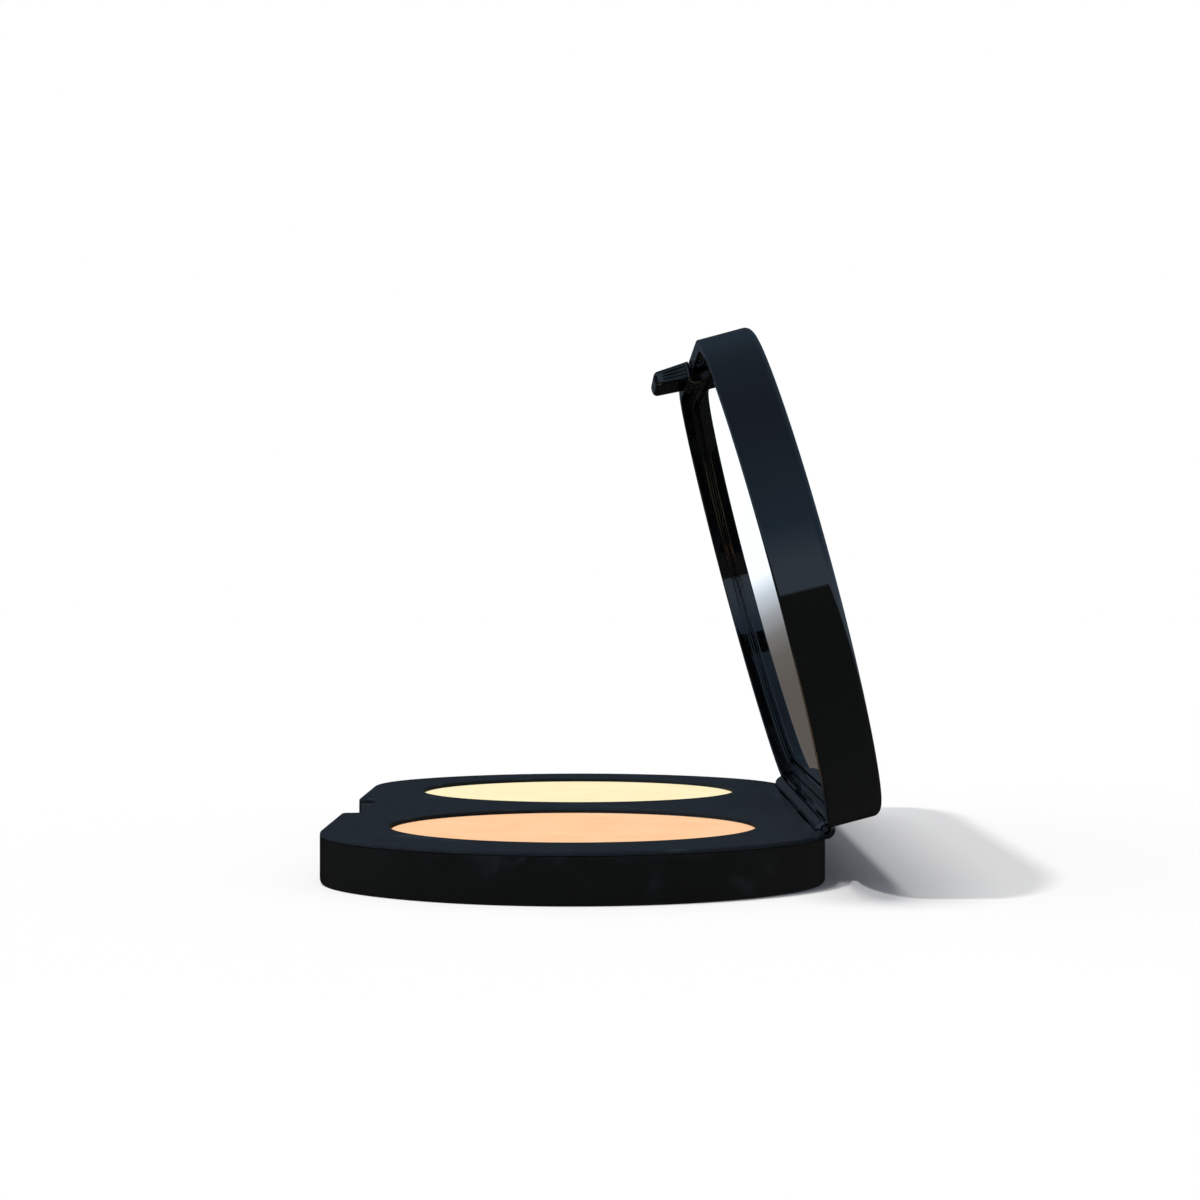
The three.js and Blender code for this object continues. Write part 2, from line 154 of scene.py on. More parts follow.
@dataclass(frozen=True)
class CaseOutline:
    """Plan outline of the case: two round ends, four shoulders and a straight front and back.

    Every ring that it gives has the same number of points, so rings of any inset and height
    can be skinned one to the next.
    """

    half_length: float
    half_width: float
    end_border: float = 8.3
    side_border: float = 6.4
    shoulder: float = 18.0
    end_steps: int = 72
    shoulder_steps: int = 28
    corner_steps: int = 8

    @property
    def opening(self) -> float:
        """Radius of the openings over the two wells."""
        return self.half_width - self.side_border

    @property
    def end_radius(self) -> float:
        """Radius of the round ends."""
        return self.opening + self.end_border

    @property
    def well_x(self) -> float:
        """Distance of each well's centre from the middle."""
        return self.half_length - self.end_radius

    def ring(self, inset: float, height: float, notch: Notch | None = None) -> Ring:
        """The outline moved inwards at one height.

        Args:
            inset: Distance inwards from the case's own outline.
            height: Height of the ring.
            notch: The latch notch, for a ring that follows it.

        Returns:
            The ring's points, anticlockwise seen from above.
        """
        meeting_y = self.half_width - self.shoulder
        meeting_x = math.sqrt((self.end_radius - self.shoulder) ** 2 - meeting_y**2)
        meeting = math.degrees(math.atan2(meeting_y, meeting_x))
        shoulder_x = self.well_x + meeting_x
        end, side = self.end_radius - inset, self.shoulder - inset
        steps = self.shoulder_steps
        arcs = [
            Arc(shoulder_x, -meeting_y, side, -90, -meeting, steps, True),
            Arc(self.well_x, 0, end, -meeting, meeting, self.end_steps, True),
            Arc(shoulder_x, meeting_y, side, meeting, 90, steps),
            Arc(-shoulder_x, meeting_y, side, 90, 180 - meeting, steps, True),
            Arc(-self.well_x, 0, end, 180 - meeting, 180 + meeting, self.end_steps, True),
            Arc(-shoulder_x, -meeting_y, side, 180 + meeting, 270, steps),
        ]
        if notch:
            arcs += self._notch_arcs(inset, notch)
        return [Vector((x, y, height)) for arc in arcs for x, y in arc.points()]

    def _notch_arcs(self, inset: float, notch: Notch) -> list[Arc]:
        """The four corners of the latch notch, from its -X side to its +X side.

        Args:
            inset: Distance inwards from the case's own outline.
            notch: The latch notch.

        Returns:
            The arcs, in the ring's order.
        """
        lip = max(notch.lip - inset, notch.least_lip)
        lip_y = -self.half_width + inset + lip
        inner_x = notch.width / 2 - notch.corner
        inner_y = -self.half_width + notch.depth - notch.corner
        inner = notch.corner + inset
        lean = math.degrees(math.asin(max(lip_y - inner_y, 0.0) / inner))
        wall = inner_x + inner * math.cos(math.radians(lean))
        steps = self.corner_steps
        return [
            Arc(-wall - lip, lip_y, lip, -90, 0, steps),
            Arc(-inner_x, inner_y, inner, 179 - lean, 90, steps),
            Arc(inner_x, inner_y, inner, 90, 1 + lean, steps),
            Arc(wall + lip, lip_y, lip, 180, 270, steps),
        ]


def filleted(corners: Sequence[Corner], steps: int = 6, closed: bool = False) -> list[Point]:
    """Rounds the corners of a profile.

    Args:
        corners: The profile's corners in order.
        steps: Number of facets in each fillet.
        closed: Whether the last corner joins the first.

    Returns:
        Points along the rounded profile.
    """
    path: list[Point] = []
    for index, corner in enumerate(corners):
        here = Vector((corner.across, corner.height))
        at_end = not closed and index in (0, len(corners) - 1)
        if corner.round <= 0 or at_end:
            path.append((here.x, here.y))
            continue
        last, following = corners[index - 1], corners[(index + 1) % len(corners)]
        before = (Vector((last.across, last.height)) - here).normalized()
        after = (Vector((following.across, following.height)) - here).normalized()
        half = before.angle(after) / 2
        centre = here + (before + after).normalized() * (corner.round / math.sin(half))
        start = here + before * (corner.round / math.tan(half)) - centre
        end = here + after * (corner.round / math.tan(half)) - centre
        sweep = start.angle(end)
        for step in range(steps + 1):
            share = step / steps
            point = centre + (
                start * math.sin((1 - share) * sweep) + end * math.sin(share * sweep)
            ) / math.sin(sweep)
            path.append((point.x, point.y))
    return path


def circle(radius: float, place: Callable[[float, float], Vector], steps: int) -> Ring:
    """A round ring.

    Args:
        radius: The ring's radius.
        place: Turns two plane coordinates into a point in space.
        steps: Number of points.

    Returns:
        The ring's points.
    """
    angles = (math.tau * step / steps for step in range(steps))
    return [place(radius * math.cos(angle), radius * math.sin(angle)) for angle in angles]


def skin(name: str, rings: Sequence[Ring], closed: bool = False) -> Piece:
    """Joins rings of equal length into one closed solid.

    Args:
        name: The new object's name.
        rings: Rings in order, in millimetres.
        closed: Whether the last ring joins the first instead of both being capped.

    Returns:
        The object, linked to the scene, with its mesh in metres.
    """
    mesh = bmesh.new()
    rows = [[mesh.verts.new(point * MM) for point in ring] for ring in rings]
    pairs = list(zip(rows, rows[1:])) + ([(rows[-1], rows[0])] if closed else [])
    for lower, upper in pairs:
        for index, corner in enumerate(lower):
            mesh.faces.new((lower[index - 1], corner, upper[index], upper[index - 1]))
    if not closed:
        mesh.faces.new(rows[0])
        mesh.faces.new(rows[-1])
    bmesh.ops.recalc_face_normals(mesh, faces=mesh.faces)
    data = bpy.data.meshes.new(name)
    mesh.to_mesh(data)
    mesh.free()
    solid = bpy.data.objects.new(name, data)
    bpy.context.scene.collection.objects.link(solid)
    return solid


def turned(name: str, path: Sequence[Point], x: float, steps: int,
           closed: bool = False) -> Piece:
    """A solid of revolution about the vertical axis at x, from a radius and height path."""
    rings = [circle(r, lambda a, b, z=z: Vector((x + a, b, z)), steps) for r, z in path]
    return skin(name, rings, closed)


def barred(name: str, path: Sequence[Point], y: float, z: float, steps: int,
           closed: bool = False) -> Piece:
    """A solid of revolution about a line along X at y and z, from a radius and X path."""
    rings = [circle(r, lambda a, b, x=x: Vector((x, y + a, z + b)), steps) for r, x in path]
    return skin(name, rings, closed)


def box(name: str, low: Sequence[float], high: Sequence[float]) -> Piece:
    """A plain block, used only to cut.

    Args:
        name: The new object's name.
        low: Its lowest corner.
        high: Its highest corner.

    Returns:
        The block.
    """
    plan = ((low[0], low[1]), (high[0], low[1]), (high[0], high[1]), (low[0], high[1]))
    rings = [[Vector((x, y, z)) for x, y in plan] for z in (low[2], high[2])]
    return skin(name, rings)


def baked(thing: Piece) -> None:
    """Writes an object's modifiers into its mesh.

    Args:
        thing: The object, which has no modifier left afterwards.
    """
    depsgraph = bpy.context.evaluated_depsgraph_get()
    fresh = bpy.data.meshes.new_from_object(thing.evaluated_get(depsgraph))
    old = thing.data
    thing.modifiers.clear()
    thing.data = fresh
    bpy.data.meshes.remove(old)


def combine(solid: Piece, tool: Piece, how: Cut) -> None:
    """Joins or cuts one solid with another.

    Args:
        solid: The solid that stays.
        tool: The other solid, which is removed.
        how: Whether the tool is joined or taken away.
    """
    modifier = solid.modifiers.new(how.name, "BOOLEAN")
    modifier.object = tool
    modifier.operation = how.value
    modifier.solver = "EXACT"
    baked(solid)
    bpy.data.objects.remove(tool)


def attach(solid: Piece, part: Piece) -> None:
    """Adds one solid's mesh to another's as it is.

    Args:
        solid: The solid that stays.
        part: The other solid, which is removed.
    """
    mesh = bmesh.new()
    mesh.from_mesh(solid.data)
    mesh.from_mesh(part.data)
    mesh.to_mesh(solid.data)
    mesh.free()
    bpy.data.objects.remove(part)


def smooth(solid: Piece, sharp_degrees: float = 40.0) -> None:
    """Shades a solid smooth between its sharp edges, with large flat faces kept flat.

    Args:
        solid: The solid.
        sharp_degrees: The angle from which an edge is sharp.
    """
    solid.data.shade_smooth()
    solid.data.set_sharp_from_angle(angle=math.radians(sharp_degrees))
    modifier = solid.modifiers.new("Flat faces lead", "WEIGHTED_NORMAL")
    modifier.keep_sharp = True
    modifier.weight = 100
    baked(solid)


# ---------------------------------------------------------------- shader effects


class Graph:
    """Adds and links nodes in one node tree."""

    def __init__(self, tree: bpy.types.NodeTree) -> None:
        """Works on tree."""
        self.tree = tree

    def add(self, kind: str, values: dict | None = None, **settings) -> bpy.types.Node:
        """Adds a node.

        Args:
            kind: The node's type, without the ShaderNode prefix.
            values: Numbers and colours for its input sockets, by name or index.
            **settings: Its own properties.

        Returns:
            The node.
        """
        prefix = "" if kind.startswith("Node") else "ShaderNode"
        node = self.tree.nodes.new(prefix + kind)
        for key, value in settings.items():
            setattr(node, key, value)
        for socket, value in (values or {}).items():
            if isinstance(value, Socket):
                self.tree.links.new(value, node.inputs[socket])
            else:
                node.inputs[socket].default_value = value
        return node

    def link(self, value: Socket, target: Socket) -> None:
        """Feeds a value into a node's input."""
        self.tree.links.new(value, target)

    def where(self) -> Socket:
        """Places on the piece itself, in metres."""
        return self.add("TexCoord").outputs["Object"]

    def stretched(self, where: Socket, scale: tuple[float, float, float]) -> Socket:
        """Places scaled along each axis."""
        return self.add("Mapping", {"Vector": where, "Scale": scale}).outputs[0]

    def math(self, operation: str, first: Number, second: Number = 0.0,
             clamp: bool = False) -> Socket:
        """One arithmetic step on two numbers."""
        node = self.add("Math", {0: first, 1: second}, operation=operation, use_clamp=clamp)
        return node.outputs[0]

    def times(self, first: Number, second: Number, clamp: bool = False) -> Socket:
        """Two numbers multiplied."""
        return self.math("MULTIPLY", first, second, clamp)

    def blend(self, share: Number, first: Tone, second: Tone) -> Socket:
        """A colour that goes from first to second as share goes from 0 to 1."""
        values = {0: share, 6: first, 7: second}
        return self.add("Mix", values, data_type="RGBA").outputs[2]

    def product(self, first: Tone, second: Tone) -> Socket:
        """Two colours multiplied."""
        values = {0: 1.0, 6: first, 7: second}
        return self.add("Mix", values, data_type="RGBA", blend_type="MULTIPLY").outputs[2]

    def ramp(self, source: Socket, low: float, high: float, start: float = 0.0,
             end: float = 1.0) -> Socket:
        """A number that goes from start to end as source goes from low to high."""
        values = {"Value": source, "From Min": low, "From Max": high,
                  "To Min": start, "To Max": end}
        return self.add("MapRange", values, clamp=True).outputs[0]

    def gradient(self, height: Socket, stops: Stops) -> Socket:
        """A colour that follows a height.

        Args:
            height: A number from -1 to 1.
            stops: Heights and the colour at each.

        Returns:
            The colour.
        """
        share = self.ramp(height, -1.0, 1.0)
        ramp = self.add("ValToRGB", {0: share})
        elements = ramp.color_ramp.elements
        for index, (level, colour) in enumerate(stops):
            place = (level + 1) / 2
            element = elements[index] if index < 2 else elements.new(place)
            element.position, element.color = place, (*colour, 1.0)
        return ramp.outputs[0]

    def noise(self, where: Socket, scale: Number, detail: float = 2.0,
              roughness: float = 0.5) -> Socket:
        """Cloudy noise from 0 to 1."""
        values = {"Vector": where, "Scale": scale, "Detail": detail, "Roughness": roughness}
        return self.add("TexNoise", values).outputs[0]


@dataclass(frozen=True)
class Effect:
    """A shader node group that several finishes use."""

    name: str
    inputs: tuple[tuple[str, float], ...]
    outputs: tuple[str, ...]
    draw: Callable[[Graph, Sockets, Sockets], None]

    def group(self) -> bpy.types.NodeTree:
        """The node group, built the first time that it is asked for.

        Returns:
            The group's tree.
        """
        tree = bpy.data.node_groups.get(self.name)
        if tree:
            return tree
        tree = bpy.data.node_groups.new(self.name, "ShaderNodeTree")
        for label, value in self.inputs:
            socket = tree.interface.new_socket(label, in_out="INPUT", socket_type="NodeSocketFloat")
            socket.default_value = value
        for label in self.outputs:
            tree.interface.new_socket(label, in_out="OUTPUT", socket_type="NodeSocketFloat")
        graph = Graph(tree)
        given = graph.add("NodeGroupInput").outputs
        wanted = graph.add("NodeGroupOutput").inputs
        self.draw(graph, given, wanted)
        return tree

    def place(self, graph: Graph, **values: float) -> Sockets:
        """Puts the group into a material.

        Args:
            graph: The material's graph.
            **values: Its inputs, with underscores for spaces.

        Returns:
            The group node's outputs.
        """
        node = graph.add("Group", node_tree=self.group())
        for key, value in values.items():
            node.inputs[key.replace("_", " ")].default_value = value
        return node.outputs


def draw_grain(graph: Graph, given: Sockets, wanted: Sockets) -> None:
    """Fine pitted texture: a height, and a tone that is lighter on the high spots.

    Args:
        graph: The group's graph.
        given: The group's inputs.
        wanted: The sockets that take its results.
    """
    where = graph.where()
    fine = graph.noise(where, given["Scale"], 3.0, 0.6)
    broad = graph.noise(where, graph.times(given["Scale"], 0.13), 2.0)
    height = graph.math("ADD", fine, graph.times(broad, given["Mottle"]))
    graph.link(height, wanted["Height"])
    graph.link(graph.ramp(broad, 0.3, 0.7), wanted["Tone"])
    graph.link(graph.ramp(fine, 0.35, 0.65), wanted["Speckle"])


def draw_handling(graph: Graph, given: Sockets, wanted: Sockets) -> None:
    """Smudges where fingers held the piece, and short fine scratches.

    Args:
        graph: The group's graph.
        given: The group's inputs.
        wanted: The sockets that take its results.
    """
    where = graph.where()
    cloud = graph.noise(where, given["Patch Scale"], 3.0, 0.55)
    smudge = graph.ramp(cloud, 0.60, 0.76)
    texture = graph.ramp(graph.noise(where, 1900.0, 2.0), 0.35, 0.65, 0.55, 1.0)
    graph.link(graph.times(smudge, texture), wanted["Smudge"])
    streaked = graph.stretched(where, (350.0, 350.0, 5200.0))
    streak = graph.ramp(graph.noise(streaked, 1.0, 2.0), 0.70, 0.76)
    patch = graph.ramp(graph.noise(where, 90.0, 1.0), 0.56, 0.64)
    graph.link(graph.times(streak, patch), wanted["Scratch"])


def draw_edge_wear_and_highlight(graph: Graph, given: Sockets, wanted: Sockets) -> None:
    """Mask of exposed edges, broken up by noise: scuffed edges on the polished case, a painted
    highlight along the deck's edges.

    Args:
        graph: The group's graph.
        given: The group's inputs.
        wanted: The sockets that take its results.
    """
    where = graph.where()
    edge = graph.add("NewGeometry").outputs["Pointiness"]
    rim = graph.ramp(edge, 0.52, 0.60)
    broken = graph.ramp(graph.noise(where, 420.0, 3.0), 0.35, 0.75)
    edge_amount = graph.times(graph.times(rim, broken), given["Amount"], True)
    graph.link(edge_amount, wanted["Mask"])


def draw_dust(graph: Graph, given: Sockets, wanted: Sockets) -> None:
    """Mask of loose dust: sparse fine specks, with a thin film between them.

    Args:
        graph: The group's graph.
        given: The group's inputs.
        wanted: The sockets that take its results.
    """
    where = graph.where()
    cells = graph.add("TexVoronoi", {"Vector": where, "Scale": given["Scale"]})
    specks = graph.ramp(cells.outputs["Distance"], 0.16, 0.06)
    here = graph.ramp(graph.noise(where, 160.0, 2.0), 0.55, 0.68)
    film = graph.ramp(graph.noise(where, 90.0, 3.0), 0.4, 0.8, 0.0, 0.25)
    loose = graph.math("ADD", graph.times(specks, here), film)
    dust = graph.times(loose, given["Amount"], True)
    graph.link(dust, wanted["Mask"])


GRAIN = Effect("Fine grain", (("Scale", 4000.0), ("Mottle", 0.4)),
               ("Height", "Tone", "Speckle"), draw_grain)
HANDLING = Effect("Handling marks", (("Patch Scale", 120.0),), ("Smudge", "Scratch"),
                  draw_handling)
# Edge mask: paler scuffed edges on the case, a painted highlight along the deck's edges.
EDGE_WEAR_AND_HIGHLIGHT = Effect("Edge mask", (("Amount", 0.5),), ("Mask",), draw_edge_wear_and_highlight)
DUST = Effect("Loose dust", (("Scale", 1400.0), ("Amount", 0.3)), ("Mask",), draw_dust)


# ---------------------------------------------------------------- finishes


@dataclass(frozen=True)
class Finish:
    """A procedural material. Subclasses add its variation over the surface."""

    name: str
    colour: Colour
    roughness: float
    metallic: float = 0.0
    specular: float = 0.5

    def material(self) -> bpy.types.Material:
        """The material, built the first time that it is asked for.

        Returns:
            The material.
        """
        made = bpy.data.materials.get(self.name)
        if made:
            return made
        made = bpy.data.materials.new(self.name)
        made.use_nodes = True
        made.diffuse_color = (*self.colour, 1.0)
        graph = Graph(made.node_tree)
        shader = made.node_tree.nodes["Principled BSDF"]
        shader.inputs["Base Color"].default_value = (*self.colour, 1.0)
        shader.inputs["Roughness"].default_value = self.roughness
        shader.inputs["Metallic"].default_value = self.metallic
        shader.inputs["Specular IOR Level"].default_value = self.specular
        self.vary(graph, shader.inputs)
        return made

    def vary(self, graph: Graph, surface: Sockets) -> None:
        """Adds the finish's variation to the shader's inputs.

        Args:
            graph: The material's graph.
            surface: The shader's inputs.
        """

    def tint(self, factor: float) -> tuple[float, float, float, float]:
        """The finish's colour, lighter or darker by factor."""
        red, green, blue = (min(channel * factor, 1.0) for channel in self.colour)
        return red, green, blue, 1.0

    @staticmethod
    def bump(graph: Graph, height: Socket, depth: float) -> Socket:
        """A normal for relief of the given depth in millimetres."""
        values = {"Height": height, "Distance": depth * MM}
        return graph.add("Bump", values).outputs["Normal"]


@dataclass(frozen=True)
class PolishedPlastic(Finish):
    """Glossy moulded plastic with smudges, hairline scratches and scuffed edges."""

    smudged: float = 0.16
    edge_amount: float = 0.5

    def vary(self, graph: Graph, surface: Sockets) -> None:
        """Smudges dull the gloss and lift the colour, and scuffed edges are paler.

        Args:
            graph: The material's graph.
            surface: The shader's inputs.
        """
        marks = HANDLING.place(graph, Patch_Scale=190.0)
        edge_mask = EDGE_WEAR_AND_HIGHLIGHT.place(graph, Amount=self.edge_amount)["Mask"]
        held = graph.blend(graph.times(marks["Smudge"], 0.5), self.tint(1.0), self.tint(3.0))
        graph.link(graph.blend(edge_mask, held, self.tint(4.0)), surface["Base Color"])
        dull = graph.ramp(marks["Smudge"], 0.0, 1.0, self.roughness, self.roughness + self.smudged)
        rough = graph.math("ADD", dull, graph.times(edge_mask, 0.2), True)
        graph.link(rough, surface["Roughness"])
        scored = graph.math("SUBTRACT", 1.0, marks["Scratch"])
        graph.link(self.bump(graph, scored, 0.0006), surface["Normal"])


@dataclass(frozen=True)
class GrainedPlastic(Finish):
    """Satin plastic with a fine moulded grain, a trace of powder dust and a painted highlight along
    its edges.
    """

    dust: Colour = (0.5, 0.4, 0.3)

    def vary(self, graph: Graph, surface: Sockets) -> None:
        """The grain shades the colour a little, dust lies in small patches, and a painted highlight
        lightens the edges.

        Args:
            graph: The material's graph.
            surface: The shader's inputs.
        """
        grain = GRAIN.place(graph, Scale=2600.0, Mottle=0.5)
        marks = HANDLING.place(graph, Patch_Scale=80.0)
        edge_mask = EDGE_WEAR_AND_HIGHLIGHT.place(graph, Amount=0.9)["Mask"]
        dusty = DUST.place(graph, Scale=2400.0, Amount=0.006)["Mask"]
        shade = graph.blend(grain["Speckle"], self.tint(0.86), self.tint(1.14))
        toned = graph.blend(graph.times(grain["Tone"], 0.3), shade, self.tint(1.3))
        # Painted highlight: convex edges are lightened to stand for the light caught by the deck's
        # rounded top edge.
        edge_highlighted = graph.blend(edge_mask, toned, self.tint(3.0))
        graph.link(graph.blend(dusty, edge_highlighted, (*self.dust, 1.0)), surface["Base Color"])
        low, high = self.roughness + 0.06, self.roughness - 0.06
        graph.link(graph.ramp(marks["Smudge"], 0.0, 1.0, low, high), surface["Roughness"])
        graph.link(self.bump(graph, grain["Height"], 0.012), surface["Normal"])


@dataclass(frozen=True)
class PressedPowder(Finish):
    """Pressed cosmetic powder: matt, softly mottled, with fine light and dark specks."""

    deep: Colour = (0.5, 0.3, 0.2)
    # Colour of the painted shadow round the cake's edge, where the deck's lip shades it.
    painted_rim_shadow: Colour = (0.3, 0.15, 0.05)
    centre: float = 0.0
    radius: float = 18.0
    # Width and fade of the painted shadow round the cake's edge.
    rim_shadow_width: float = 0.5
    rim_shadow_fade: float = 0.25

    def rim(self, graph: Graph) -> Socket:
        """A mask of the narrow ring at the edge of the cake, where a painted shadow stands for the
        shade of the deck's lip.

        Args:
            graph: The material's graph.

        Returns:
            The mask, 1 at the edge.
        """
        middle = (self.centre * MM, 0.0, 0.0)
        flat = graph.stretched(graph.where(), (1.0, 1.0, 0.0))
        reach = graph.add("VectorMath", {0: flat, 1: middle}, operation="DISTANCE")
        outer = self.radius * MM
        return graph.ramp(reach.outputs["Value"], outer - self.rim_shadow_width * MM,
                          outer - self.rim_shadow_fade * MM)

    def vary(self, graph: Graph, surface: Sockets) -> None:
        """Two sizes of grain vary the colour and raise the surface, and the rim gets a painted
        shadow.

        Args:
            graph: The material's graph.
            surface: The shader's inputs.
        """
        coarse = GRAIN.place(graph, Scale=1500.0, Mottle=0.8)
        fine = GRAIN.place(graph, Scale=5200.0, Mottle=0.3)
        deep = (*self.deep, 1.0)
        cloud = graph.blend(graph.times(coarse["Tone"], 0.38), self.tint(1.0), deep)
        specks = graph.ramp(fine["Speckle"], 0.0, 0.4, 0.55, 0.0)
        pressed = graph.blend(specks, cloud, deep)
        # Painted shadow: the ring at the cake's edge is darkened as if shaded by the deck's lip.
        painted_rim_shadow = graph.blend(self.rim(graph), pressed, (*self.painted_rim_shadow, 1.0))
        graph.link(painted_rim_shadow, surface["Base Color"])
        relief = graph.math("ADD", coarse["Height"], graph.times(fine["Height"], 0.4))
        graph.link(self.bump(graph, relief, 0.08), surface["Normal"])


@dataclass(frozen=True)
class DrawnMetal(Finish):
    """Bare metal with fine drawing lines along one direction."""

    along: tuple[float, float, float] = (300.0, 9000.0, 9000.0)

    def vary(self, graph: Graph, surface: Sockets) -> None:
        """The lines change the roughness and relief, and handling leaves a faint film.

        Args:
            graph: The material's graph.
            surface: The shader's inputs.
        """
        lines = graph.stretched(graph.where(), self.along)
        drawn = graph.noise(lines, 1.0, 2.0)
        smudge = HANDLING.place(graph, Patch_Scale=200.0)["Smudge"]
        rough = graph.ramp(drawn, 0.3, 0.7, self.roughness - 0.08, self.roughness + 0.1)
        filmed = graph.math("ADD", rough, graph.times(smudge, 0.1), True)
        graph.link(filmed, surface["Roughness"])
        shade = graph.blend(drawn, self.tint(0.85), self.tint(1.1))
        graph.link(shade, surface["Base Color"])
        graph.link(self.bump(graph, drawn, 0.003), surface["Normal"])


@dataclass(frozen=True)
class SilveredGlass(Finish):
    """Mirror plate: perfect but for a few specks of dust."""

    def vary(self, graph: Graph, surface: Sockets) -> None:
        """Dust specks dull it.

        Args:
            graph: The material's graph.
            surface: The shader's inputs.
        """
        dust = DUST.place(graph, Scale=1300.0, Amount=0.03)["Mask"]
        graph.link(graph.blend(dust, self.tint(1.0), self.tint(0.8)), surface["Base Color"])


@dataclass(frozen=True)
class AdhesiveFoam(Finish):
    """Off-white closed-cell adhesive foam."""

    def vary(self, graph: Graph, surface: Sockets) -> None:
        """Small cells vary the tone and the relief.

        Args:
            graph: The material's graph.
            surface: The shader's inputs.
        """
        grain = GRAIN.place(graph, Scale=2200.0, Mottle=0.5)
        shade = graph.blend(grain["Speckle"], self.tint(0.86), self.tint(1.0))
        graph.link(shade, surface["Base Color"])
        graph.link(self.bump(graph, grain["Height"], 0.03), surface["Normal"])


CASE_GLOSS = PolishedPlastic("Polished navy black", (0.0016, 0.0018, 0.0021), 0.035)
DECK_SATIN = GrainedPlastic("Grained navy black", (0.0122, 0.0160, 0.0207), 0.62, specular=0.02)
# The last colour of each powder is the painted shadow round its cake's edge.
POWDER_PEACH = PressedPowder("Pressed peach", (0.925, 0.56, 0.325), 0.95, specular=0.05,
                             deep=(0.80, 0.43, 0.21), painted_rim_shadow=(0.13, 0.045, 0.008))
POWDER_IVORY = PressedPowder("Pressed ivory", (0.925, 0.79, 0.50), 0.95, specular=0.05,
                             deep=(0.84, 0.66, 0.37), painted_rim_shadow=(0.17, 0.105, 0.02))
MIRROR_GLASS = SilveredGlass("Silvered glass", (0.93, 0.945, 0.95), 0.0, metallic=1.0)
PAN_METAL = DrawnMetal("Satin aluminium", (0.72, 0.73, 0.74), 0.34, metallic=1.0)
PIN_METAL = DrawnMetal("Blackened steel", (0.045, 0.047, 0.052), 0.42, metallic=1.0)
PAD_FOAM = AdhesiveFoam("Adhesive foam", (0.80, 0.78, 0.73), 0.85, specular=0.2)


# ---------------------------------------------------------------- sub-assemblies


def node_box(node: str) -> tuple[Vector, Vector]:
    """Lowest and highest corners of a CAD node at rest, in millimetres."""
    low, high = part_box(node)
    return low / MM, high / MM


def dress(piece: Piece, finish: Finish, slot: Slot, body: Body, *nodes: str) -> None:
    """Gives a finished piece its material and body.

    Args:
        piece: The piece.
        finish: Its material.
        slot: The record's slot for that material; not used.
        body: The body that it rides on.
        *nodes: The CAD nodes that it stands for.
    """
    piece.data.materials.clear()
    piece.data.materials.append(finish.material())
    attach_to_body(piece, body.value)
    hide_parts(*nodes)
    LOG.info("%s: %d faces, on %s", piece.name, len(piece.data.polygons), body.value)


def repaint(node: str, finish: Finish) -> None:
    """Gives a CAD node that stays as it is a better material.

    Args:
        node: The node's name.
        finish: Its material.
    """
    data = frame["nodes"][node].data
    data.materials.clear()
    data.materials.append(finish.material())
    LOG.info("%s: kept, with %s", node, finish.name)


